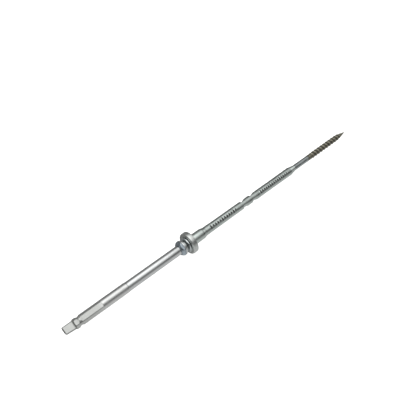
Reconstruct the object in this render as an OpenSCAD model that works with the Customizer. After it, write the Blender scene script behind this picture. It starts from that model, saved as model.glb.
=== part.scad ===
// Slim screw-in ice anchor. A hex drive shank, a rear shaft, a lock nut with its washers and spacer,
// a swivel ring, a crimped sleeve and a threaded point stand in line along +X, in millimetres.
// The origin is the centre of the drive tang's end face, and the tang's flat faces +Z.

/* [Drive shank] */
// Length of the flat tang
tang_l = 7.5; // [6:0.1:10]
// Width of the flat tang
tang_w = 6; // [4.5:0.1:6.2]
// Narrowing of the tang's -Y side towards its end
tang_taper = 0.5; // [0:0.1:0.8]
// Thickness of the flat tang
tang_t = 2.8; // [2:0.1:3.6]
// Radius of the tang's +Y end corner
tang_plus_r = 0.5; // [0.3:0.1:1.2]
// Radius of the tang's -Y end corner
tang_minus_r = 1.2; // [0.3:0.1:1.5]
// Bevel along the edges of the tang's flats
tang_bevel = 0.5; // [0.1:0.05:0.6]
// Size of the hex across its flats
hex_af = 6.35; // [6:0.05:6.6]
// Length of the hex lug behind the ball groove
lug_l = 2.55; // [2:0.05:4]
// Width of the ball groove at the hex corners
groove_w = 2.7; // [2.2:0.1:3]
// Depth of the ball groove below the hex corners
groove_depth = 0.6; // [0.55:0.05:0.9]
// Length of the full-depth hex flats ahead of the groove
flats_l = 12.6; // [10:0.1:16]
// Length of the shallow cutter run-out at the end of the flats
runout_l = 3.1; // [2:0.1:4]
// Length of the plain round shank ahead of the flats
round_l = 20.6; // [15:0.1:25]
// Diameter of the plain round shank
round_d = 7.45; // [7.4:0.05:7.8]

/* [Shaft and coupling] */
// Diameter of the rear shaft
shaft_d = 7.1; // [6.8:0.1:7.3]
// Length of the rear shaft
shaft_l = 46.5; // [40:0.1:60]
// Major diameter of the coupling stud
stud_d = 6; // [5:1:6]
// Thread pitch of the coupling stud
stud_pitch = 1; // [0.8:0.05:1.2]

/* [Nut and washers] */
// Size of the lock nut across its flats
nut_af = 10; // [9:0.1:10.4]
// Thickness of the lock nut
nut_t = 2.5; // [2:0.1:3.5]
// Diameter of the lock nut's rear face, inside its long chamfer
nut_face_d = 8.4; // [7.5:0.1:9.5]
// Length of the lock nut's rear chamfer
nut_chamfer_l = 1.7; // [0.5:0.1:2.2]
// Outer diameter of the plain washer
washer_d = 11.6; // [10:0.1:12.5]
// Thickness of the plain washer
washer_t = 1; // [0.5:0.1:1.6]
// Outer diameter of the spacer
spacer_d = 8.8; // [8:0.1:11]
// Length of the spacer
spacer_l = 1.8; // [1:0.1:4]
// Outer diameter of the split spring washer
spring_d = 11.7; // [10:0.1:13]
// Thickness of the split spring washer
spring_t = 1.2; // [0.8:0.1:1.6]
// Gap that the nut closes as it pushes its washer and the spacer on to the spring washer
nut_travel = 0.7; // [0.5:0.1:2]
// Gap between the spring washer and the swivel ring, which turn together
ring_gap = 0.45; // [0.05:0.05:1]

/* [Swivel ring] */
// Outer diameter of the swivel ring
ring_d = 16.9; // [15:0.1:18]
// Thickness of the swivel ring
ring_t = 4.1; // [2:0.1:5]
// Radius of the swivel ring's rear rim edge
ring_rear_r = 1.1; // [0.3:0.1:1.6]
// Radius of the swivel ring's front rim edge
ring_front_r = 0.5; // [0.3:0.1:1.2]
// Depth of the recess in the ring's front face, which the sleeve's base enters
recess_depth = 0.5; // [0.3:0.1:1]

/* [Sleeve and rod] */
// Diameter of the sleeve's swollen base
base_d = 8.2; // [7.8:0.1:8.6]
// Length of the sleeve's swollen base
base_l = 11.3; // [10:0.1:13]
// Diameter of the sleeve
sleeve_d = 6.6; // [6.2:0.1:7]
// Length of the sleeve from its base face to the start of its nose
sleeve_l = 113; // [105:0.1:120]
// Length of the sleeve's swaged nose
nose_l = 6.2; // [5:0.1:10]
// Diameter of the core rod
rod_d = 4.7; // [4:0.1:4.8]
// Length of the core rod left bare between the sleeve and the point
neck_l = 18.7; // [12:0.1:25]
// Swell of the sleeve's radius towards its nose
swell = 0.15; // [0:0.05:0.2]
// Distance between the two rows of crimps
crimp_pitch = 10.3; // [9.5:0.1:12]
// Depth of a crimp in the sleeve's surface
crimp_depth = 1.05; // [0.6:0.05:1.1]
// Distance from the axis to the flat sides of a crimping jaw, beyond its round middle
jaw_z = 2; // [1.7:0.05:2.2]
// Length of a crimp's bottom
crimp_flat_l = 1.4; // [0.5:0.1:2]
// Length of a crimp's steep rear side
crimp_rear_l = 1.5; // [1:0.1:3]
// Length of a crimp's long front side
crimp_front_l = 4; // [2:0.1:5]

/* [Threaded point] */
// Length of the threaded point
tip_l = 54.8; // [48:0.1:58]
// Outer diameter of the thread on the point
thread_d = 5.5; // [5:0.1:5.8]
// Pitch of the thread on the point
thread_pitch = 4; // [3.5:0.1:5]
// Depth of the thread on the point
thread_depth = 0.45; // [0.3:0.05:0.8]
// Radius of the blunt end of the point
point_r = 0.35; // [0.1:0.05:0.6]

/* [Hidden] */
$fn = 64;

// Clearances: a running fit, a fixed fit in a socket, and the end play of loose rings
running = 0.05;
snug = 0.02;
end_play = 0.08;
// Overlap that keeps a cut or a union free of coincident faces
eps = 0.05;
zinc = [0.74, 0.77, 0.77];
blue_zinc = [0.66, 0.71, 0.75];
dark_steel = [0.36, 0.34, 0.31];

// Stations along the axis, from the tang's end face
hex_ac = hex_af / cos(30);
lug_x = tang_l;
groove_x = lug_x + lug_l + groove_w / 2;
flats_x = groove_x + groove_w / 2;
runout_x = flats_x + flats_l;
round_x = runout_x + runout_l;
shaft_x = round_x + round_l;
shaft_end_x = shaft_x + shaft_l;
nut_x = shaft_end_x + end_play;
washer_x = nut_x + nut_t + end_play;
spacer_x = washer_x + washer_t + end_play;
spring_x = spacer_x + spacer_l + nut_travel + end_play;
ring_x = spring_x + spring_t + ring_gap;
base_x = ring_x + ring_t - recess_depth + end_play;
taper_x = base_x + base_l;
nose_x = base_x + sleeve_l;
nose_end_x = nose_x + nose_l;
tip_x = nose_end_x + neck_l;

// Sockets and their male ends
spigot_d = 4;
spigot_l = 10;
stud_rear_l = 12;
stud_front_l = base_l - 1;
tip_spigot_d = 2.4;
tip_spigot_l = 6;
rod_grip_l = 76;

// ---------- shared shapes ----------

// A solid of revolution about X, from [x, radius] points
module turned(profile) {
    rotate([0, 90, 0]) rotate_extrude() polygon([for (p = profile) [p.y, p.x]]);
}

// A round bar along X
module bar(x, d, l) {
    translate([x, 0, 0]) rotate([0, 90, 0]) cylinder(h = l, d = d);
}

// A hexagonal bar along X with two flats square to Z
module hex_bar(x, af, l) {
    translate([x, 0, 0]) rotate([0, 90, 0]) rotate(30) cylinder(h = l, d = af / cos(30), $fn = 6);
}

// Points of an arc in an [x, radius] profile, about [cx, cr], from angle a0 to a1
function arc(cx, cr, r, a0, a1, steps = 8) =
    [for (i = [0:steps]) let (a = a0 + (a1 - a0) * i / steps) [cx + r * cos(a), cr + r * sin(a)]];

// Profile of a run of annular thread ridges from x0, as many whole pitches as fit in l
function ridges(x0, l, d, pitch, depth) =
    [for (i = [0:floor(l / pitch) - 1], end = [0:1])
        end == 0 ? [x0 + i * pitch, d / 2 - depth] : [x0 + (i + 0.5) * pitch, d / 2]];

// ---------- drive shank ----------

// Plan of the tang: its two free corners are round and its -Y side narrows towards the end
module tang_plan() {
    side = tang_w / 2;
    polygon(concat(
        [[tang_l + eps, -side], [tang_l + eps, side]],
        arc(tang_plus_r, side - tang_plus_r, tang_plus_r, 90, 180),
        arc(tang_minus_r, tang_taper + tang_minus_r - side, tang_minus_r, 180, 270)
    ));
}

// Square bars that bevel an edge of both flats of the tang, through [x, y] at an angle
module bevel_bars(x, y, angle) {
    side = tang_bevel * sqrt(2);
    for (z = [-tang_t / 2, tang_t / 2])
        translate([x, y, z]) rotate([0, 0, angle]) rotate([45, 0, 0])
            cube([4 * tang_l, side, side], center = true);
}

module tang() {
    difference() {
        translate([0, 0, -tang_t / 2]) linear_extrude(tang_t) tang_plan();
        bevel_bars(0, 0, 90);
        bevel_bars(0, tang_w / 2, 0);
        bevel_bars(tang_l, -tang_w / 2, -atan(tang_taper / tang_l));
    }
}

// Ring that cuts the ball groove, with a circular bottom
module groove_cutter() {
    r = (pow(groove_w / 2, 2) + pow(groove_depth, 2)) / (2 * groove_depth);
    depth_r = hex_ac / 2 - groove_depth;
    turned(concat(arc(groove_x, depth_r + r, r, 180, 360, 16), [
        [groove_x + r, hex_ac],
        [groove_x - r, hex_ac]
    ]));
}

module drive_shank() {
    chamfer = 0.45;
    runout_rise = 0.03;
    corner_r = round_d / 2 - snug;
    color(zinc) {
        tang();
        difference() {
            intersection() {
                union() {
                    hex_bar(lug_x, hex_af, runout_x - lug_x + eps);
                    hex_bar(runout_x, hex_af + 2 * runout_rise, runout_l + eps);
                }
                turned([
                    [lug_x, 0],
                    [lug_x, corner_r - chamfer],
                    [lug_x + chamfer, corner_r],
                    [round_x + eps, corner_r],
                    [round_x + eps, 0]
                ]);
            }
            groove_cutter();
        }
        turned([
            [round_x, 0],
            [round_x, round_d / 2],
            [shaft_x - chamfer / 2, round_d / 2],
            [shaft_x, (round_d - chamfer) / 2],
            [shaft_x, spigot_d / 2],
            [shaft_x + spigot_l - chamfer, spigot_d / 2],
            [shaft_x + spigot_l, spigot_d / 2 - chamfer],
            [shaft_x + spigot_l, 0]
        ]);
    }
}

// ---------- shaft and coupling ----------

// A bar with a socket for the drive shank's spigot and another for the coupling stud
module rear_shaft() {
    rear = shaft_x + snug;
    chamfer = 0.25;
    color(zinc) difference() {
        turned([
            [rear, 0],
            [rear, shaft_d / 2 - chamfer],
            [rear + chamfer, shaft_d / 2],
            [shaft_end_x - chamfer, shaft_d / 2],
            [shaft_end_x, shaft_d / 2 - chamfer],
            [shaft_end_x, 0]
        ]);
        bar(rear - eps, spigot_d + 2 * snug, spigot_l + 1);
        bar(shaft_end_x - stud_rear_l - 1, stud_d + 2 * snug, stud_rear_l + 1 + eps);
    }
}

// Threaded ends either side of the plain journal that the swivel ring turns on
module coupling_stud() {
    depth = 0.6 * stud_pitch;
    rear = shaft_end_x - stud_rear_l;
    journal_x = ring_x - 0.3;
    front = base_x + stud_front_l;
    color(zinc) turned(concat(
        [[rear, 0]],
        ridges(rear, journal_x - rear, stud_d, stud_pitch, depth),
        [[journal_x, stud_d / 2], [base_x, stud_d / 2]],
        ridges(base_x + eps, front - base_x, stud_d, stud_pitch, depth),
        [[front, stud_d / 2 - depth], [front, 0]]
    ));
}

// ---------- nut and washers ----------

// Angle at which the nut stands at rest
nut_turn_a = 2;

// Hex nut with a long chamfer on its rear face and a light one on its front face
module jam_nut() {
    corner = nut_af / cos(30) / 2;
    light = 0.3;
    color(blue_zinc) difference() {
        intersection() {
            rotate([nut_turn_a, 0, 0]) hex_bar(nut_x, nut_af, nut_t);
            turned([
                [nut_x, 0],
                [nut_x, nut_face_d / 2],
                [nut_x + nut_chamfer_l, corner],
                [nut_x + nut_t - light, corner],
                [nut_x + nut_t, corner - light],
                [nut_x + nut_t, 0]
            ]);
        }
        bar(nut_x - eps, stud_d + 2 * running, nut_t + 2 * eps);
    }
}

// A flat ring on the stud, with a small bevel at each rim
module plain_ring(x, d, t, bevel) {
    difference() {
        turned([
            [x, 0],
            [x, d / 2 - bevel],
            [x + bevel, d / 2],
            [x + t - bevel, d / 2],
            [x + t, d / 2 - bevel],
            [x + t, 0]
        ]);
        bar(x - eps, stud_d + 2 * running, t + 2 * eps);
    }
}

module nut_washer() {
    color(zinc) plain_ring(washer_x, washer_d, washer_t, 0.15);
}

module spacer() {
    color(zinc) plain_ring(spacer_x, spacer_d, spacer_l, 0.2);
}

// Lock washer with a slanted split on its hidden side
module spring_washer() {
    slit = 0.8;
    color(blue_zinc) difference() {
        plain_ring(spring_x, spring_d, spring_t, 0.2);
        translate([spring_x + spring_t / 2, 0, -spring_d / 2])
            rotate([0, 0, 20]) cube([4 * spring_t, slit, spring_d], center = true);
    }
}

// ---------- swivel ring ----------

module flange_ring() {
    front = ring_x + ring_t;
    rim = ring_d / 2;
    color(zinc) difference() {
        turned(concat(
            [[ring_x, 0]],
            arc(ring_x + ring_rear_r, rim - ring_rear_r, ring_rear_r, 180, 90),
            arc(front - ring_front_r, rim - ring_front_r, ring_front_r, 90, 0),
            [[front, 0]]
        ));
        bar(ring_x - eps, stud_d + 2 * running, ring_t + 2 * eps);
        bar(front - recess_depth, base_d + 0.4, recess_depth + eps);
    }
}

// ---------- sleeve and rod ----------

// Stations of the first crimps and of the swell, and angles about the axis, from +Z towards -Y
first_crimp_x = nose_x - 57.1;
swell_x = nose_x - 24;
crimp_angles = [-84, 80];
marks_a = 7;

// Wall left between a crimp's bottom and the bore that it presses inwards
crimp_wall = 0.6;

// Core that the jaws close round, narrowest at each row of crimps, this far inside the sleeve's surface
module crimped_core(inset) {
    surface = sleeve_d / 2 - inset;
    margin = 0.3;
    half = crimp_flat_l / 2;
    start = first_crimp_x - crimp_flat_l - crimp_rear_l;
    end = first_crimp_x + crimp_pitch + 2 * crimp_front_l;
    turned(concat(
        [[start, 0], [start, surface + margin]],
        [for (row = [0, 1], p = [
            [-half - crimp_rear_l, margin],
            [-half, -crimp_depth],
            [half, -crimp_depth],
            [half + crimp_front_l, margin]
        ]) [first_crimp_x + row * crimp_pitch + p.x, surface + p.y]],
        [[end, surface + margin], [end, 0]]
    ));
}

// What the crimping jaws press away: flat-sided blocks that stop at the core
module crimp_jaws(inset = 0) {
    rear = crimp_flat_l / 2 + crimp_rear_l;
    front = crimp_flat_l / 2 + crimp_front_l;
    difference() {
        for (row = [0, 1], jaw_a = crimp_angles)
            rotate([jaw_a, 0, 0])
                translate([first_crimp_x + row * crimp_pitch - rear, -sleeve_d, jaw_z - inset])
                    cube([rear + front, 2 * sleeve_d, sleeve_d]);
        crimped_core(inset);
    }
}

// Short lines across the sleeve at equal steps, with every fifth line longer
module graduations(x, count, pitch) {
    depth = 0.12;
    width = 1.2;
    for (i = [0:count - 1])
        let (length = i % 5 == 0 ? 3 : 2)
            rotate([marks_a, 0, 0])
                translate([x + i * pitch, -length / 2, sleeve_d / 2 - depth])
                    cube([width, length, 1]);
}

// Tube with a swollen base at the rear, two rows of crimps and a swaged nose
module front_sleeve() {
    round_r = 0.5;
    nose_r = sleeve_d / 2 + swell;
    bore_r = rod_d / 2 + snug;
    color(zinc) difference() {
        turned(concat(
            [[base_x, 0]],
            arc(base_x + round_r, base_d / 2 - round_r, round_r, 180, 90, 4),
            [
                [taper_x, base_d / 2],
                [taper_x + 1.2, base_d / 2 - 0.3],
                [taper_x + 3, sleeve_d / 2 + 0.1],
                [taper_x + 16, sleeve_d / 2],
                [swell_x, sleeve_d / 2],
                [nose_x, nose_r],
                [nose_x + 1.4, nose_r - 0.3],
                [nose_x + 4, rod_d / 2 + 0.4],
                [nose_end_x, rod_d / 2 + 0.1],
                [nose_end_x, 0]
            ]
        ));
        crimp_jaws();
        bar(base_x - eps, stud_d + 2 * snug, stud_front_l + 0.6);
        difference() {
            bar(base_x - eps, 2 * bore_r, nose_end_x - base_x + 2 * eps);
            crimp_jaws(crimp_wall);
        }
        graduations(taper_x + 7.6, 12, 2.4);
        graduations(nose_x - 38.6, 15, 2.3);
    }
}

// Rod that the sleeve is crimped on to, notched where the crimps press in
module core_rod() {
    rear = nose_end_x - rod_grip_l;
    chamfer = 0.3;
    color(zinc) difference() {
        turned([
            [rear, 0],
            [rear, rod_d / 2 - chamfer],
            [rear + chamfer, rod_d / 2],
            [tip_x - snug, rod_d / 2],
            [tip_x - snug, tip_spigot_d / 2],
            [tip_x + tip_spigot_l, tip_spigot_d / 2],
            [tip_x + tip_spigot_l, 0]
        ]);
        crimp_jaws(crimp_wall + snug);
    }
}

// ---------- threaded point ----------

thread_x = 2.5;
point_l = 13;
sides = 24;
per_pitch = 8;

// Height of the ridge, from 0 to 1, at a phase of 0 to 1 along one pitch
function ridge(phase) = max(0, 1 - abs(phase - 0.5) / 0.32);

// Fade of the thread at its start and near the point
function fade(x) = min(1, max(0, (x - thread_x) / thread_pitch), max(0, (tip_l - 4 - x) / 6));

// Radius of the core, which narrows to the blunt end of the point
function core_radius(x) =
    let (full = thread_d / 2 - thread_depth, left = (tip_l - x) / point_l)
    left >= 1 ? full : point_r + (full - point_r) * (0.35 * left + 0.65 * sin(90 * left));

function thread_radius(x, a) =
    let (phase = x / thread_pitch - a / 360)
    core_radius(x) + thread_depth * fade(x) * ridge(phase - floor(phase));

module threaded_bar() {
    steps = ceil((tip_l - thread_x) / thread_pitch * per_pitch);
    points = [for (i = [0:steps], j = [0:sides - 1])
        let (x = thread_x + (tip_l - thread_x) * i / steps, a = 360 * j / sides)
        [tip_x + x, thread_radius(x, a) * cos(a), thread_radius(x, a) * sin(a)]];
    walls = [for (i = [0:steps - 1], j = [0:sides - 1], half = [0:1])
        let (k = (j + 1) % sides, a = i * sides, b = a + sides)
        half == 0 ? [a + j, b + j, b + k] : [a + j, b + k, a + k]];
    rear_cap = [for (j = [0:sides - 1]) j];
    front_cap = [for (j = [0:sides - 1]) steps * sides + sides - 1 - j];
    polyhedron(points = points, faces = concat([rear_cap], walls, [front_cap]));
}

module screw_tip() {
    collar_d = rod_d + 0.1;
    collar_l = tip_spigot_l + 1;
    color(dark_steel) difference() {
        union() {
            threaded_bar();
            bar(tip_x, collar_d, thread_x + eps);
        }
        bar(tip_x - eps, tip_spigot_d + 2 * snug, collar_l);
    }
}

drive_shank();
rear_shaft();
coupling_stud();
jam_nut();
nut_washer();
spacer();
spring_washer();
flange_ring();
front_sleeve();
core_rod();
screw_tip();
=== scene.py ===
import math

import bpy
import numpy as np
from mathutils import Matrix, Vector


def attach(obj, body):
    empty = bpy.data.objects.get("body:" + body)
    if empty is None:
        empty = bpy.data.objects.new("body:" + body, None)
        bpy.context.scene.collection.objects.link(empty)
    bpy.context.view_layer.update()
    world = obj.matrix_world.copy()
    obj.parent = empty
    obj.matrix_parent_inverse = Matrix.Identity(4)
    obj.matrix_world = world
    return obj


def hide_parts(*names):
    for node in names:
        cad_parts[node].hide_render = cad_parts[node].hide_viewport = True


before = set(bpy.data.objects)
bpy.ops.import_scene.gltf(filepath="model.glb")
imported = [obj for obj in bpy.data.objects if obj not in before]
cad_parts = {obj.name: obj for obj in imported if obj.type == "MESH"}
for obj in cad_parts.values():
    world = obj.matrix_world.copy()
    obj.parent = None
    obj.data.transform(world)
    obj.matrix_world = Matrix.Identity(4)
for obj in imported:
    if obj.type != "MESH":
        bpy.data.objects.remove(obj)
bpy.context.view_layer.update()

MM = 0.001

# ---------- sizes in millimetres, the same as the CAD ----------

SNUG, END_PLAY = 0.02, 0.08
TANG = {"l": 7.5, "w": 6.0, "t": 2.8, "taper": 0.5, "plus_r": 0.5, "minus_r": 1.2, "bevel": 0.5}
HEX_AF, CORNER_ROUND, RUNOUT_RISE = 6.35, 0.12, 0.03
LUG_L, GROOVE_W, GROOVE_DEPTH = 2.55, 2.7, 0.6
FLATS_L, RUNOUT_L, ROUND_L, ROUND_R = 12.6, 3.1, 20.6, 3.725
GROOVE_X = TANG["l"] + LUG_L + GROOVE_W / 2
RUNOUT_X = GROOVE_X + GROOVE_W / 2 + FLATS_L
ROUND_X = RUNOUT_X + RUNOUT_L
SHAFT_X, SHAFT_L, SHAFT_R = ROUND_X + ROUND_L, 46.5, 3.55
SHAFT_END_X = SHAFT_X + SHAFT_L
SPIGOT_R, SPIGOT_L = 2.0, 10.0
STUD_R, STUD_PITCH, STUD_DEPTH = 3.0, 1.0, 0.6
STUD_REAR_L, STUD_FRONT_L = 12.0, 10.3
NUT_X, NUT_T, NUT_AF, NUT_ANGLE = SHAFT_END_X + END_PLAY, 2.5, 10.0, 2.0
NUT_FACE_R, NUT_CHAMFER_L = 4.2, 1.7
WASHER_X, WASHER_T, WASHER_R = NUT_X + NUT_T + END_PLAY, 1.0, 5.8
SPACER_X, SPACER_L, SPACER_R = WASHER_X + WASHER_T + END_PLAY, 1.8, 4.4
NUT_TRAVEL, RING_GAP = 0.7, 0.45
SPRING_X, SPRING_T, SPRING_R = SPACER_X + SPACER_L + NUT_TRAVEL + END_PLAY, 1.2, 5.85
RING_X, RING_T, RING_R = SPRING_X + SPRING_T + RING_GAP, 4.1, 8.45
RECESS_DEPTH = 0.5
BASE_X, BASE_L, BASE_R = RING_X + RING_T - RECESS_DEPTH + END_PLAY, 11.3, 4.1
TAPER_X = BASE_X + BASE_L
NOSE_X, NOSE_L, SLEEVE_R = BASE_X + 113.0, 6.2, 3.3
NOSE_END_X = NOSE_X + NOSE_L
SWELL_X, SWELL = NOSE_X - 24, 0.15
ROD_R, ROD_REAR_X = 2.35, NOSE_END_X - 76
TIP_X, TIP_L = NOSE_END_X + 18.7, 54.8
TIP_SPIGOT_R, TIP_SPIGOT_L = 1.2, 6.0
THREAD_R, THREAD_PITCH, THREAD_DEPTH = 2.75, 4.0, 0.45
THREAD_START, POINT_L, POINT_R = 2.5, 13.0, 0.35
CRIMP_DEPTH, CRIMP_WALL, CRIMP_FLAT, CRIMP_REAR, CRIMP_FRONT = 1.05, 0.6, 1.4, 1.5, 4.0
CRIMP_X = (NOSE_X - 57.1, NOSE_X - 46.8)
CRIMP_ANGLES, JAW_Z = (-84, 80), 2.0
MARK_ANGLE, MARK_W, MARK_DEPTH = 7, 1.2, 0.12
MARK_GROUPS = ((TAPER_X + 7.6, 12, 2.4), (NOSE_X - 38.6, 15, 2.3))
BORE_R = STUD_R + 0.05

# ---------- mesh building ----------
# A piece is a grid: rows along a profile, columns round the axis. Angles run from +Z towards -Y.


LAYERS = ("wear", "dark", "lit")


def columns(count):
    return np.linspace(0, 2 * math.pi, count, endpoint=False)


def add_mesh(name, points, faces, **layers):
    """Mesh with a value at every point for each layer: wear (on the screw point's crests also a painted
    highlight), dark (soil, printed marks and painted shade in recesses and along edges) and lit (brighter
    plating).
    """
    mesh = bpy.data.meshes.new(name)
    mesh.from_pydata((points * MM).tolist(), [], faces)
    mesh.validate()
    for label in LAYERS:
        layer = mesh.attributes.new(label, "FLOAT", "POINT")
        values = layers.get(label, np.zeros(len(points)))
        layer.data.foreach_set("value", np.ascontiguousarray(values, dtype=np.float32))
    mesh.shade_smooth()
    mesh.set_sharp_from_angle(angle=math.radians(32))
    piece = bpy.data.objects.new(name, mesh)
    bpy.context.collection.objects.link(piece)
    return piece


def grid(name, xs, radii, angles, closed=False, **layers):
    """Mesh of rows (x, radius per column), capped unless closed, when its last row joins its first."""
    rows, cols = radii.shape
    xs = np.broadcast_to(np.asarray(xs, float).reshape(rows, -1), (rows, cols))
    points = np.stack([xs, -radii * np.sin(angles), radii * np.cos(angles)], axis=2).reshape(-1, 3)
    layers = {label: np.broadcast_to(values, (rows, cols)).ravel() for label, values in layers.items()}
    faces = []
    for i in range(rows if closed else rows - 1):
        a, b = i * cols, (i + 1) % rows * cols
        faces += [(a + j, a + (j + 1) % cols, b + (j + 1) % cols, b + j) for j in range(cols)]
    if not closed:
        ends = np.array([[xs[0].mean(), 0, 0], [xs[-1].mean(), 0, 0]])
        points = np.vstack([points, ends])
        rear, front, last = rows * cols, rows * cols + 1, (rows - 1) * cols
        faces += [(rear, (j + 1) % cols, j) for j in range(cols)]
        faces += [(front, last + j, last + (j + 1) % cols) for j in range(cols)]
        layers = {label: np.append(values, [0, 0]) for label, values in layers.items()}
    return add_mesh(name, points, faces, **layers)


def soften(profile, steps=5):
    """Rounds the corners of an open profile of (x, radius, corner size) points."""
    out = []
    for k, (x, r, size) in enumerate(profile):
        here = np.array([x, r])
        if size == 0 or k in (0, len(profile) - 1):
            out.append(here)
            continue
        before = np.array(profile[k - 1][:2]) - here
        after = np.array(profile[k + 1][:2]) - here
        start = here + before / np.linalg.norm(before) * size
        end = here + after / np.linalg.norm(after) * size
        for t in np.linspace(0, 1, steps):
            out.append((1 - t) ** 2 * start + 2 * t * (1 - t) * here + t ** 2 * end)
    return np.array(out)


def corner_wear(profile, points, reach):
    """Wear along a softened profile: 1 at a rounded corner, falling to 0 within the reach."""
    corners = np.array([p[:2] for p in profile if p[2] > 0])
    if len(corners) == 0:
        return np.zeros(len(points))
    gap = np.linalg.norm(points[:, None] - corners[None], axis=2).min(axis=1)
    return np.clip(1 - gap / reach, 0, 1)


def lathe(name, profile, closed=False, cols=144, reach=0.35):
    """Turned piece from a profile of (x, radius, corner size) points."""
    points = soften(profile)
    radii = np.repeat(points[:, 1:], cols, axis=1)
    wear = np.repeat(corner_wear(profile, points, reach)[:, None], cols, axis=1)
    return grid(name, points[:, 0], radii, columns(cols), closed, wear=wear)


def convex_section(corners, rounding, angles):
    """Radius of a rounded convex section at each angle. Corners are the centres of its corner arcs."""
    normals = np.linspace(0, 2 * math.pi, 720, endpoint=False)
    across = np.stack([-np.sin(normals), np.cos(normals)])
    reach = (np.array(corners) @ across).max(axis=0) + rounding
    facing = np.cos(angles[:, None] - normals[None])
    return np.where(facing > 0.05, reach / np.maximum(facing, 0.05), 1e9).min(axis=1)


def hexagon(across_flats, rounding, angles, turn=0.0):
    corner = (across_flats / 2 - rounding) / math.cos(math.radians(30))
    places = [math.radians(turn + 30 + 60 * k) for k in range(6)]
    return convex_section([(-corner * math.sin(a), corner * math.cos(a)) for a in places], rounding, angles)


def smooth_min(a, b, blend):
    h = np.clip(0.5 + 0.5 * (b - a) / blend, 0, 1)
    return b * (1 - h) + a * h - blend * h * (1 - h)


def dense(stops, step):
    """Stations between stops, evenly spaced at about the step and with every stop kept."""
    parts = [np.linspace(a, b, max(1, math.ceil((b - a) / step)), endpoint=False)
             for a, b in zip(stops, stops[1:])]
    return np.append(np.concatenate(parts), stops[-1])


def stack(*rows):
    return np.vstack([np.atleast_2d(r) for r in rows])


# ---------- drive shank ----------


def tang_halves(x):
    """Half width on the +Y and the -Y side and half thickness of the tang at a station."""
    inset = [r - math.sqrt(r ** 2 - max(0, r - x) ** 2) for r in (TANG["plus_r"], TANG["minus_r"])]
    plus = TANG["w"] / 2 - inset[0]
    minus = TANG["w"] / 2 - inset[1] - TANG["taper"] * (1 - x / TANG["l"])
    return plus, minus, TANG["t"] / 2 - max(0, TANG["bevel"] - x)


def tang_section(x, angles):
    bevel, rounding = TANG["bevel"], 0.06
    plus, minus, half_t = tang_halves(x)
    corners = [(y, z) for side, width in ((1, plus), (-1, minus)) for y, z in (
        (side * (width - rounding), half_t - bevel), (side * (width - bevel), half_t - rounding),
        (side * (width - rounding), bevel - half_t), (side * (width - bevel), rounding - half_t))]
    return convex_section(corners, rounding, angles)


def tang_bevels(x, radii, angles):
    """1 on the bevels along the tang's edges, falling to 0 on its flats."""
    plus, minus, half_t = tang_halves(x)
    y, z = -radii * np.sin(angles), radii * np.cos(angles)
    past = np.abs(y) + np.abs(z) - (np.where(y > 0, plus, minus) + half_t - TANG["bevel"])
    return np.clip(1 + past / 0.2, 0, 1)


def hex_limit(x):
    """Radius that the lug's and the flats' turned chamfers, and the ball groove, leave at a station."""
    chamfer = 0.45
    lug = HEX_AF / 2 / math.cos(math.radians(30)) - chamfer + (x - TANG["l"])
    bottom = HEX_AF / 2 / math.cos(math.radians(30)) - GROOVE_DEPTH
    radius = ((GROOVE_W / 2) ** 2 + GROOVE_DEPTH ** 2) / (2 * GROOVE_DEPTH)
    off = abs(x - GROOVE_X)
    groove = bottom + radius - math.sqrt(radius ** 2 - off ** 2) if off < radius else 9
    return min(lug, groove, ROUND_R - SNUG)


def make_drive_shank():
    angles = columns(288)
    flat = hexagon(HEX_AF, CORNER_ROUND, angles)
    shallow = hexagon(HEX_AF + 2 * RUNOUT_RISE, CORNER_ROUND, angles)
    tang_xs = np.concatenate([np.linspace(0, TANG["minus_r"], 15), dense([1.5, TANG["l"]], 1)])
    hex_xs = dense([TANG["l"], TANG["l"] + 0.5, 9.9, 12.9, 13.4], 0.12)
    hex_xs = np.concatenate([hex_xs, dense([14, RUNOUT_X - 0.15], 1.5)])
    rows = [tang_section(x, angles) for x in tang_xs]
    rows += [smooth_min(flat, np.full_like(flat, hex_limit(x)), 0.05) for x in hex_xs]
    run_xs = np.array([RUNOUT_X + 0.15, RUNOUT_X + 1, ROUND_X - 0.3, ROUND_X - 0.03])
    rows += [smooth_min(shallow, np.full_like(flat, ROUND_R - SNUG), 0.05) for _ in run_xs]
    tail = soften([
        (ROUND_X, ROUND_R - 0.05, 0), (ROUND_X + 0.05, ROUND_R, 0), (SHAFT_X - 0.2, ROUND_R, 0.15),
        (SHAFT_X, ROUND_R - 0.2, 0.05), (SHAFT_X, SPIGOT_R, 0), (SHAFT_X + SPIGOT_L - 0.4, SPIGOT_R, 0.1),
        (SHAFT_X + SPIGOT_L, SPIGOT_R - 0.4, 0)])
    xs = np.concatenate([tang_xs, hex_xs, run_xs, tail[:, 0]])
    radii = stack(*rows, np.repeat(tail[:, 1:], len(angles), axis=1))
    # Dark layer: soil along the hex corners, with painted shade making it stronger on one side; painted shade at
    # the shoulder behind the tang and in the ball groove.
    corner = np.clip((np.abs((np.degrees(angles) + 30) % 60 - 30) - 22) / 8, 0, 1)
    on_hex = (xs > TANG["l"]) & (xs < ROUND_X)
    step = np.clip(1 - np.abs(xs - TANG["l"] - 0.05) / 0.3, 0, 1)
    ends = np.clip(1 - np.abs(xs - GROOVE_X) / GROOVE_W, 0, 1) * 0.12
    corner = corner * np.clip(0.45 + 0.6 * np.sin(angles), 0, 0.75)
    dark = np.clip(on_hex[:, None] * corner[None] + (0.75 * step + ends)[:, None], 0, 1)
    # Painted shade along the tang's bevels.
    for i, x in enumerate(tang_xs[:-1]):
        dark[i] = np.maximum(dark[i], 0.45 * tang_bevels(x, radii[i], angles))
    wear = np.clip(1 - xs / 0.4, 0, 1)[:, None]
    lit = np.clip((xs - RUNOUT_X) / RUNOUT_L, 0, 1)[:, None]
    return grid("drive_shank_body", xs, radii, angles, wear=wear, dark=dark, lit=lit)


# ---------- shaft and coupling ----------


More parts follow.
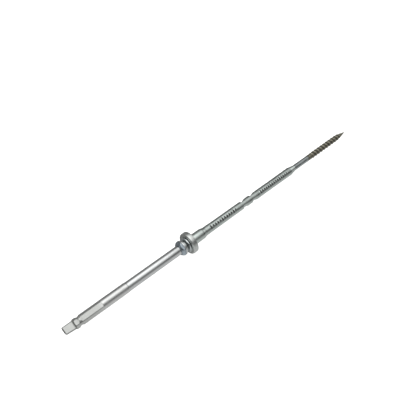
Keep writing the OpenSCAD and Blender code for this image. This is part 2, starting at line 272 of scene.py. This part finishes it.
def make_rear_shaft():
    chamfer, socket = 0.25, SPIGOT_R + SNUG
    stud = STUD_R + SNUG
    return lathe("rear_shaft_body", [
        (SHAFT_X + SPIGOT_L + 1, socket, 0), (SHAFT_X + SNUG, socket, 0),
        (SHAFT_X + SNUG, SHAFT_R - chamfer, 0.08), (SHAFT_X + SNUG + chamfer, SHAFT_R, 0.1),
        (SHAFT_END_X - chamfer, SHAFT_R, 0.1), (SHAFT_END_X, SHAFT_R - chamfer, 0.08),
        (SHAFT_END_X, stud, 0), (SHAFT_END_X - STUD_REAR_L - 1, stud, 0)])


def helix(xs, angles, start, pitch):
    """Phase of a right-hand thread, from 0 to 1 along one pitch."""
    return ((xs[:, None] - start) / pitch - angles[None] / (2 * math.pi)) % 1


def make_coupling_stud():
    angles = columns(96)
    rear, journal, front = SHAFT_END_X - STUD_REAR_L, RING_X - 0.3, BASE_X + STUD_FRONT_L
    xs = dense([rear, journal, BASE_X, front], STUD_PITCH / 10)
    form = 1 - np.abs(helix(xs, angles, rear, STUD_PITCH) - 0.5) * 2
    cut = STUD_DEPTH * (1 - np.clip(form * 1.35 - 0.1, 0, 1))
    lead = np.clip((xs - rear) / 1.2, 0, 1) * np.clip((front - xs) / 1.2, 0, 1)
    plain = np.clip((xs - journal) / 0.2, 0, 1) * np.clip((BASE_X - xs) / 0.2, 0, 1)
    radii = STUD_R - cut * (1 - plain)[:, None] - 0.5 * (1 - lead)[:, None] * (1 - cut / STUD_DEPTH)
    # The dark value is painted shade in the thread roots.
    return grid("coupling_stud_thread", xs, radii, angles, dark=cut / STUD_DEPTH * 0.8)


# ---------- nut and washers ----------


def make_jam_nut():
    angles = columns(288)
    corner = NUT_AF / 2 / math.cos(math.radians(30))
    outline = hexagon(NUT_AF, 0.15, angles, NUT_ANGLE)
    light, lead = 0.3, 0.35
    xs = np.concatenate([[0], np.linspace(0.02, NUT_CHAMFER_L, 22), [NUT_T - light, NUT_T - light / 2, NUT_T]])
    limit = np.interp(xs, [0, NUT_CHAMFER_L, NUT_T - light, NUT_T],
                      [NUT_FACE_R, corner, corner, corner - light])
    outer = smooth_min(outline[None], limit[:, None], 0.06)
    outer[0] = NUT_FACE_R - 0.05
    bore = soften([
        (NUT_T, BORE_R + lead, 0), (NUT_T - lead, BORE_R, 0), (lead, BORE_R, 0), (0, BORE_R + lead, 0)])
    radii = stack(outer, np.repeat(bore[:, 1:], len(angles), axis=1))
    edge = np.exp(-((outline[None] - limit[:, None]) / 0.12) ** 2)
    wear = stack(edge, np.zeros((len(bore), len(angles))))
    return grid("jam_nut_body", NUT_X + np.append(xs, bore[:, 0]), radii, angles, closed=True, wear=wear)


def make_ring(name, x, length, radius, rear, front, bore=BORE_R):
    """Turned ring on the stud; rear and front are the sizes of its rim corners."""
    return lathe(name, [
        (x, bore + 0.1, 0), (x, radius, rear), (x + length, radius, front),
        (x + length, bore + 0.1, 0), (x + length - 0.1, bore, 0), (x + 0.1, bore, 0)], closed=True)


def make_spring_washer():
    """Lock washer whose split is slanted and stands on the hidden side."""
    cols, half_split, lean = 120, 0.4, math.radians(20)
    profile = np.array([
        (0.15, BORE_R), (0, BORE_R + 0.15), (0, SPRING_R - 0.2), (0.2, SPRING_R),
        (SPRING_T - 0.2, SPRING_R), (SPRING_T, SPRING_R - 0.2),
        (SPRING_T, BORE_R + 0.15), (SPRING_T - 0.15, BORE_R)])
    rows = len(profile)
    slant = math.tan(lean) * (profile[:, 0] - SPRING_T / 2)
    ends = [math.pi + (side * half_split / math.cos(lean) + slant) / profile[:, 1] for side in (1, -1)]
    turns = np.linspace(0, 1, cols)[None]
    angles = ends[0][:, None] + (ends[1] + 2 * math.pi - ends[0])[:, None] * turns
    radii = np.repeat(profile[:, 1:], cols, axis=1)
    xs = np.repeat(SPRING_X + profile[:, :1], cols, axis=1)
    points = np.stack([xs, -radii * np.sin(angles), radii * np.cos(angles)], axis=2).reshape(-1, 3)
    faces = []
    for i in range(rows):
        a, b = i * cols, (i + 1) % rows * cols
        faces += [(a + j, a + j + 1, b + j + 1, b + j) for j in range(cols - 1)]
    faces.append([i * cols for i in range(rows)])
    faces.append([i * cols + cols - 1 for i in reversed(range(rows))])
    wear = np.repeat([0, 0.5, 0.6, 1, 1, 0.6, 0.5, 0], cols)
    return add_mesh("spring_washer_split", points, faces, wear=wear)


# ---------- swivel ring ----------


def make_flange_ring():
    front = RING_X + RING_T
    recess = BASE_R + 0.2
    return lathe("flange_ring_body", [
        (RING_X, BORE_R + 0.15, 0), (RING_X, RING_R, 1.2), (front, RING_R, 0.6),
        (front, recess, 0.05), (front - RECESS_DEPTH, recess, 0.05), (front - RECESS_DEPTH, BORE_R, 0),
        (RING_X + 0.15, BORE_R, 0)], closed=True, cols=192, reach=0.8)


# ---------- sleeve and rod ----------


def crimp_cut(xs, angles, inset=0.0):
    """Distance from the axis at which each ray meets the nearest jaw, whose flat sides end at a turned core."""
    cut = np.full((len(xs), len(angles)), 9.0)
    half, margin, clear = CRIMP_FLAT / 2, 0.3, 0.2
    for station in CRIMP_X:
        core = SLEEVE_R - inset + np.interp(
            xs - station, [-half - CRIMP_REAR, -half, half, half + CRIMP_FRONT],
            [margin, -CRIMP_DEPTH, -CRIMP_DEPTH, margin], left=9, right=9)
        for place in CRIMP_ANGLES:
            facing = np.cos(angles - math.radians(place))
            side = np.where(facing > clear, (JAW_Z - inset) / np.maximum(facing, clear), 9)
            cut = np.minimum(cut, np.maximum(core[:, None], side[None]))
    return cut


def mark_mask(xs, angles):
    """1 inside a graduation line and 0 outside, with soft edges."""
    mask = np.zeros((len(xs), len(angles)))
    around = ((angles - math.radians(MARK_ANGLE) + math.pi) % (2 * math.pi) - math.pi) * SLEEVE_R
    for start, count, pitch in MARK_GROUPS:
        for i in range(count):
            half = 1.5 if i % 5 == 0 else 1.0
            along = MARK_W / 2 - np.abs(xs - (start + i * pitch + MARK_W / 2))
            across = half - np.abs(around)
            mask = np.maximum(mask, np.clip(np.minimum(along[:, None], across[None]) / 0.1 + 0.5, 0, 1))
    return mask


def sleeve_stations():
    """Stations along the sleeve, close together at the crimps and at both edges of each graduation."""
    first_marks_end, second_marks_l = 154, 34
    edges = []
    for start, count, pitch in MARK_GROUPS:
        for i in range(count):
            left = start + i * pitch
            edges += [left - 0.1, left, left + 0.08, left + MARK_W - 0.08, left + MARK_W, left + MARK_W + 0.1]
    xs = np.concatenate([
        dense([TAPER_X + 3, MARK_GROUPS[0][0] - 0.5], 0.8), edges,
        dense([CRIMP_X[0] - 3, CRIMP_X[1] + 5.5], 0.16),
        dense([first_marks_end, CRIMP_X[0] - 6], 1.2),
        dense([MARK_GROUPS[1][0] + second_marks_l, NOSE_X], 0.6)])
    return np.unique(np.round(xs, 4))


def make_front_sleeve():
    angles = columns(256)
    rear = soften([
        (BASE_X, ROD_R + 1.2, 0), (BASE_X, BASE_R, 0.5), (TAPER_X, BASE_R, 0.6),
        (TAPER_X + 1.2, BASE_R - 0.3, 0.5), (TAPER_X + 2.9, SLEEVE_R + 0.1, 0)])
    xs = sleeve_stations()
    plain = np.interp(xs, [TAPER_X + 3, TAPER_X + 16, SWELL_X, NOSE_X],
                      [SLEEVE_R + 0.1, SLEEVE_R, SLEEVE_R, SLEEVE_R + SWELL])
    mask = mark_mask(xs, angles)
    pressed = crimp_cut(xs, angles)
    body = smooth_min(np.repeat(plain[:, None], len(angles), axis=1), pressed, 0.12) - MARK_DEPTH * mask
    nose = soften([
        (NOSE_X + 0.1, SLEEVE_R + SWELL, 0), (NOSE_X + 1.4, SLEEVE_R + SWELL - 0.3, 0.8),
        (NOSE_X + 4, ROD_R + 0.4, 0.9), (NOSE_END_X, ROD_R + 0.1, 0.05), (NOSE_END_X, ROD_R + SNUG, 0)], steps=9)
    socket = STUD_FRONT_L + 0.6
    seat = np.array([
        (BASE_X + socket, ROD_R + SNUG), (BASE_X + socket, STUD_R + SNUG), (BASE_X, STUD_R + SNUG)])
    bore_xs = dense([CRIMP_X[1] + 5.5, CRIMP_X[0] - 3], -0.16)
    bore = np.minimum(ROD_R + SNUG, crimp_cut(bore_xs, angles, CRIMP_WALL))
    cols = len(angles)
    radii = stack(np.repeat(rear[:, 1:], cols, axis=1), body, np.repeat(nose[:, 1:], cols, axis=1),
                  bore, np.repeat(seat[:, 1:], cols, axis=1))
    stations = np.concatenate([rear[:, 0], xs, nose[:, 0], bore_xs, seat[:, 0]])
    lip = np.exp(-((pressed - plain[:, None]) / 0.18) ** 2)
    wear, dark = np.zeros(radii.shape), np.zeros(radii.shape)
    here = slice(len(rear), len(rear) + len(xs))
    wear[here], dark[here] = lip * 0.8, mask
    wear[:len(rear)] = corner_wear([(BASE_X, BASE_R, 1), (TAPER_X, BASE_R, 1)], rear, 0.8)[:, None]
    return grid("front_sleeve_tube", stations, radii, angles, closed=True, wear=wear, dark=dark)


def make_core_rod():
    angles = columns(160)
    xs = np.concatenate([[ROD_REAR_X, ROD_REAR_X + 0.3], dense([CRIMP_X[0] - 5, CRIMP_X[1] + 5], 0.4),
                         dense([CRIMP_X[1] + 10, NOSE_END_X, TIP_X - 0.2], 4), [TIP_X - SNUG]])
    plain = np.interp(xs, [ROD_REAR_X, ROD_REAR_X + 0.3, TIP_X - 0.2, TIP_X - SNUG],
                      [ROD_R - 0.3, ROD_R, ROD_R, ROD_R - 0.08])
    notch = crimp_cut(xs, angles, CRIMP_WALL + SNUG)
    body = np.minimum(plain[:, None], notch)
    pin = np.array([(TIP_X - SNUG, TIP_SPIGOT_R), (TIP_X + TIP_SPIGOT_L, TIP_SPIGOT_R)])
    radii = stack(body, np.repeat(pin[:, 1:], len(angles), axis=1))
    stations = np.append(xs, pin[:, 0])
    dark = 0.8 * np.clip((stations - TIP_X + 0.6) / 0.5, 0, 1)[:, None]
    return grid("core_rod_drawn", stations, radii, angles, dark=dark)


# ---------- threaded point ----------


def make_screw_tip():
    angles = columns(120)
    socket = np.array([(TIP_SPIGOT_L + 1, TIP_SPIGOT_R + SNUG), (0, TIP_SPIGOT_R + SNUG)])
    collar = np.array([(0, ROD_R - 0.05), (0.1, ROD_R + 0.05), (THREAD_START - 0.2, ROD_R + 0.05)])
    xs = dense([THREAD_START, TIP_L - POINT_L, TIP_L], THREAD_PITCH / 28)
    full = THREAD_R - THREAD_DEPTH
    left = np.clip((TIP_L - xs) / POINT_L, 0, 1)
    core = POINT_R + (full - POINT_R) * (0.35 * left + 0.65 * np.sin(left * math.pi / 2))
    fade = np.clip((xs - THREAD_START) / THREAD_PITCH, 0, 1) * np.clip((TIP_L - 4 - xs) / 6, 0, 1)
    form = np.clip(1 - np.abs(helix(xs, angles, 0, THREAD_PITCH) - 0.5) / 0.32, 0, 1)
    crest = form * form * (3 - 2 * form)
    thread = core[:, None] + THREAD_DEPTH * fade[:, None] * crest
    cols = len(angles)
    radii = stack(np.repeat(socket[:, 1:], cols, axis=1), np.repeat(collar[:, 1:], cols, axis=1), thread)
    stations = TIP_X + np.concatenate([socket[:, 0], collar[:, 0], xs])
    # Thread crests get the wear value, partly rubbed metal and partly a painted highlight; the roots get the
    # dark value as painted shade.
    wear, dark = np.zeros(radii.shape), np.zeros(radii.shape)
    wear[-len(xs):] = crest * fade[:, None]
    dark[-len(xs):] = 0.75 * (1 - crest) * fade[:, None]
    return grid("screw_tip_thread", stations, radii, angles, wear=wear, dark=dark)


# ---------- materials ----------


class Nodes:
    """Short calls for building a node tree."""

    def __init__(self, tree):
        self.tree = tree
        tree.nodes.clear()

    def add(self, kind, **inputs):
        node = self.tree.nodes.new(kind)
        for label, value in inputs.items():
            self.put(node.inputs[label.replace("_", " ")], value)
        return node

    def put(self, socket, value):
        if isinstance(value, bpy.types.NodeSocket):
            self.tree.links.new(value, socket)
        else:
            socket.default_value = value

    def math(self, operation, *values):
        node = self.tree.nodes.new("ShaderNodeMath")
        node.operation = operation
        for socket, value in zip(node.inputs, values):
            self.put(socket, value)
        return node.outputs[0]

    def span(self, value, low, high, to_low=0.0, to_high=1.0):
        node = self.tree.nodes.new("ShaderNodeMapRange")
        for label, number in zip(("Value", "From Min", "From Max", "To Min", "To Max"),
                                 (value, low, high, to_low, to_high)):
            self.put(node.inputs[label], number)
        return node.outputs[0]

    def mix(self, factor, a, b):
        node = self.tree.nodes.new("ShaderNodeMix")
        node.data_type = "RGBA"
        self.put(node.inputs[0], factor)
        self.put(node.inputs[6], a)
        self.put(node.inputs[7], b)
        return node.outputs[2]

    def noise(self, vector, scale, detail=3.0, roughness=0.5):
        node = self.add("ShaderNodeTexNoise", Vector=vector, Scale=scale, Detail=detail, Roughness=roughness)
        return node.outputs[0]


def grain_vector(n, along, around):
    """Coordinates that stretch noise: lines round the axis when along is the larger, along it otherwise."""
    split = n.add("ShaderNodeSeparateXYZ", Vector=n.add("ShaderNodeTexCoord").outputs["Object"])
    y, z = split.outputs[1], split.outputs[2]
    squares = n.math("ADD", n.math("MULTIPLY", y, y), n.math("MULTIPLY", z, z))
    radius = n.math("MAXIMUM", n.math("SQRT", squares), 1e-5)
    return n.add("ShaderNodeCombineXYZ", X=n.math("MULTIPLY", split.outputs[0], along),
                 Y=n.math("MULTIPLY", n.math("DIVIDE", y, radius), around),
                 Z=n.math("MULTIPLY", n.math("DIVIDE", z, radius), around)).outputs[0]


def steel(name, colour, rough, along, around, grain=1.0, shade_soil_print_colour=(0.03, 0.03, 0.028), bright=1.12, tint=0.06,
          plated=(0.86, 0.87, 0.86)):
    """Plated or drawn steel: directional grain, blotches of tone and gloss, worn edges that on the screw point's
    crests also stand in for a painted highlight, and a dark mix of soil, printed marks and painted shade in
    recesses and along edges.
    """
    material = bpy.data.materials.new(name)
    material.use_nodes = True
    n = Nodes(material.node_tree)
    place = n.add("ShaderNodeTexCoord").outputs["Object"]
    lines = n.noise(grain_vector(n, along, around), 1.0, 4.0, 0.6)
    blotch = n.noise(place, 260.0, 3.0)
    speck = n.noise(place, 5200.0, 2.0)
    wear, dark, lit = (n.add("ShaderNodeAttribute") for _ in LAYERS)
    for node, label in zip((wear, dark, lit), LAYERS):
        node.attribute_name = label
    # Worn metal is lighter; on the screw point's thread crests this lighter wear is also a painted highlight.
    wear_and_glint = n.math("MULTIPLY", wear.outputs["Fac"], n.span(n.noise(place, 1500.0), 0.35, 0.62))
    deep = tuple(c * (1 - tint) for c in colour)
    high = tuple(min(1, c * (1 + tint)) for c in colour)
    base = n.mix(n.span(blotch, 0.3, 0.7), (*deep, 1), (*high, 1))
    base = n.mix(lit.outputs["Fac"], base, (*plated, 1))
    base = n.mix(n.span(lines, 0.3, 0.75, 0, 0.35), base, (*(c * 0.8 for c in colour), 1))
    base = n.mix(wear_and_glint, base, (*(min(1, c * bright) for c in colour), 1))
    # Dark mix: soil and printed marks, plus painted shade wherever a piece's dark layer holds it (hex corners,
    # shoulders, grooves, thread roots).
    shade_soil_print = n.math("MULTIPLY", dark.outputs["Fac"], n.span(speck, 0.2, 0.6, 0.82, 1.0))
    base = n.mix(shade_soil_print, base, (*shade_soil_print_colour, 1))
    roughness = n.math("ADD", n.span(blotch, 0.3, 0.7, rough - 0.05, rough + 0.06),
                       n.span(lines, 0.3, 0.7, -0.03, 0.05))
    roughness = n.math("SUBTRACT", roughness, n.math("MULTIPLY", wear_and_glint, 0.08))
    roughness = n.math("ADD", roughness, n.math("MULTIPLY", shade_soil_print, 0.25))
    height = n.math("ADD", n.math("MULTIPLY", lines, 0.7 * grain), n.math("MULTIPLY", speck, 0.3))
    bump = n.add("ShaderNodeBump", Strength=0.35, Distance=0.00001, Height=height)
    shader = n.add("ShaderNodeBsdfPrincipled", Base_Color=base, Metallic=n.span(shade_soil_print, 0, 1, 1, 0.4),
                   Roughness=roughness, Normal=bump.outputs[0])
    out = n.add("ShaderNodeOutputMaterial")
    n.tree.links.new(shader.outputs[0], out.inputs[0])
    return material


TURNED = {"along": 9000.0, "around": 2.0}
DRAWN = {"along": 60.0, "around": 90.0}

PIECES = [
    (make_drive_shank, "drive_shank", "root", "milled_steel",
     steel("milled_steel", (0.72, 0.735, 0.71), 0.26, along=500.0, around=30.0)),
    (make_rear_shaft, "rear_shaft", "root", "zinc_steel",
     steel("turned_zinc", (0.80, 0.82, 0.82), 0.22, **TURNED)),
    (make_coupling_stud, "coupling_stud", "root", "zinc_steel",
     steel("stud_zinc", (0.52, 0.55, 0.55), 0.32, **TURNED)),
    (make_jam_nut, "jam_nut", "nut", "blue_zinc",
     steel("blue_zinc", (0.52, 0.60, 0.66), 0.28, along=1500.0, around=40.0)),
    (lambda: make_ring("nut_washer_disc", WASHER_X, WASHER_T, WASHER_R, 0.15, 0.15),
     "nut_washer", "nut_carrier", "zinc_steel",
     steel("washer_zinc", (0.86, 0.88, 0.88), 0.27, **TURNED)),
    (lambda: make_ring("spacer_bush", SPACER_X, SPACER_L, SPACER_R, 0.2, 0.2),
     "spacer", "nut_carrier", "zinc_steel",
     steel("spacer_zinc", (0.58, 0.62, 0.61), 0.30, **TURNED)),
    (make_spring_washer, "spring_washer", "swivel", "blue_zinc",
     steel("spring_zinc", (0.82, 0.86, 0.87), 0.25, **TURNED)),
    (make_flange_ring, "flange_ring", "swivel", "zinc_steel",
     steel("ring_zinc", (0.76, 0.79, 0.77), 0.28, **TURNED)),
    (make_front_sleeve, "front_sleeve", "root", "sleeve_steel",
     steel("sleeve_zinc", (0.68, 0.745, 0.715), 0.27, **DRAWN)),
    (make_core_rod, "core_rod", "root", "rod_steel",
     steel("rod_steel", (0.56, 0.61, 0.61), 0.26, **DRAWN)),
    # The point's worn crests are twice as light, partly a painted highlight.
    (make_screw_tip, "screw_tip", "root", "dark_steel",
     steel("dark_steel", (0.31, 0.30, 0.235), 0.34, along=2500.0, around=20.0, bright=2.0, tint=0.2,
           shade_soil_print_colour=(0.02, 0.018, 0.012))),
]

for make, node, body, slot, material in PIECES:
    piece = make()
    piece.data.materials.append(material)
    cad_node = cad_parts[node]
    cad_node.data.materials.clear()
    cad_node.data.materials.append(material)
    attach(piece, body)
    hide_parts(node)

# ---------- floor ----------

floor_mesh = bpy.data.meshes.new("floor")
HALF_FLOOR, FLOOR_Z = 3.0, -0.012
CORNERS = ((-1, -1), (1, -1), (1, 1), (-1, 1))
floor_mesh.from_pydata([(x * HALF_FLOOR, y * HALF_FLOOR, FLOOR_Z) for x, y in CORNERS], [], [(0, 1, 2, 3)])
floor = bpy.data.objects.new("floor", floor_mesh)
bpy.context.collection.objects.link(floor)
floor.visible_glossy = False
floor_material = bpy.data.materials.new("pale_floor")
floor_material.use_nodes = True
n = Nodes(floor_material.node_tree)
pale = n.add("ShaderNodeBsdfPrincipled", Base_Color=(0.9, 0.9, 0.9, 1), Roughness=0.9,
             Emission_Color=(1, 1, 1, 1), Emission_Strength=0.85)
n.tree.links.new(pale.outputs[0], n.add("ShaderNodeOutputMaterial").inputs[0])
floor_mesh.materials.append(floor_material)

# ---------- studio light: long soft boxes along the axis, as brightness by angle about it ----------


def ramp(n, value, stops):
    """Level at each angle in degrees, from -180 to 180, a little greener where it is dim."""
    node = n.add("ShaderNodeValToRGB", Fac=value)
    steps = node.color_ramp.elements
    while len(steps) > 1:
        steps.remove(steps[-1])
    for i, (angle, level) in enumerate(stops):
        step = steps[0] if i == 0 else steps.new((angle + 180) / 360)
        step.position = (angle + 180) / 360
        step.color = (level * (0.85 + 0.15 * level), level, level * (0.98 + 0.02 * level), 1)
    return node.outputs[0]


world = bpy.data.worlds.new("studio")
bpy.context.scene.world = world
world.use_nodes = True
n = Nodes(world.node_tree)
CAMERA_ANGLE = math.radians(5)
split = n.add("ShaderNodeSeparateXYZ", Vector=n.add("ShaderNodeTexCoord").outputs["Generated"])
about = n.math("ARCTAN2", n.math("MULTIPLY", split.outputs[1], -1.0), split.outputs[2])
turn = n.span(n.math("SUBTRACT", about, CAMERA_ANGLE), -math.pi, math.pi)
sky = ramp(n, turn, [(-180, 0), (-95, .10), (-72, .42), (-52, 1.0), (-25, 1.0), (-8, .7), (0, .52), (20, .15),
                     (60, .13), (80, 0)])
ground = ramp(n, turn, [(-180, .15), (-120, .12), (-95, 0), (40, 0), (60, .20), (80, .42), (150, .42),
                        (180, .15)])
# The sky is dimmer towards the point, except far ahead, and dim far behind the drive end
dimmed = n.span(split.outputs[0], 0.38, 0.64, 1, 0.28)
ahead = n.math("MAXIMUM", dimmed, n.span(split.outputs[0], 0.72, 0.82, 0, 1))
behind = n.span(split.outputs[0], -0.8, -0.55, 0.15, 1)
light = n.math("ADD", n.math("MULTIPLY", n.math("MULTIPLY", sky, ahead), behind), ground)
studio = n.add("ShaderNodeBackground", Color=light, Strength=1.3)
backdrop = n.add("ShaderNodeBackground", Color=(1, 1, 1, 1))
seen = n.add("ShaderNodeMixShader")
n.tree.links.new(n.add("ShaderNodeLightPath").outputs["Is Camera Ray"], seen.inputs[0])
n.tree.links.new(studio.outputs[0], seen.inputs[1])
n.tree.links.new(backdrop.outputs[0], seen.inputs[2])
n.tree.links.new(seen.outputs[0], n.add("ShaderNodeOutputWorld").inputs[0])

# ---------- camera ----------

camera = bpy.data.objects.new("camera", bpy.data.cameras.new("camera"))
bpy.context.collection.objects.link(camera)
bpy.context.scene.camera = camera
camera.data.lens = 43.01
camera.data.sensor_width = 36
camera.data.clip_start = 0.001
RIGHT = (0.71494, -0.61177, 0.33852)
UP = (0.48874, 0.78351, 0.38373)
BACK = (-0.49999, -0.10889, 0.85916)
placed = Matrix((RIGHT, UP, BACK)).transposed().to_4x4()
placed.translation = Vector((-52.499, -27.896, 324.316)) * MM
camera.matrix_world = placed
bpy.context.scene.view_settings.view_transform = "Standard"
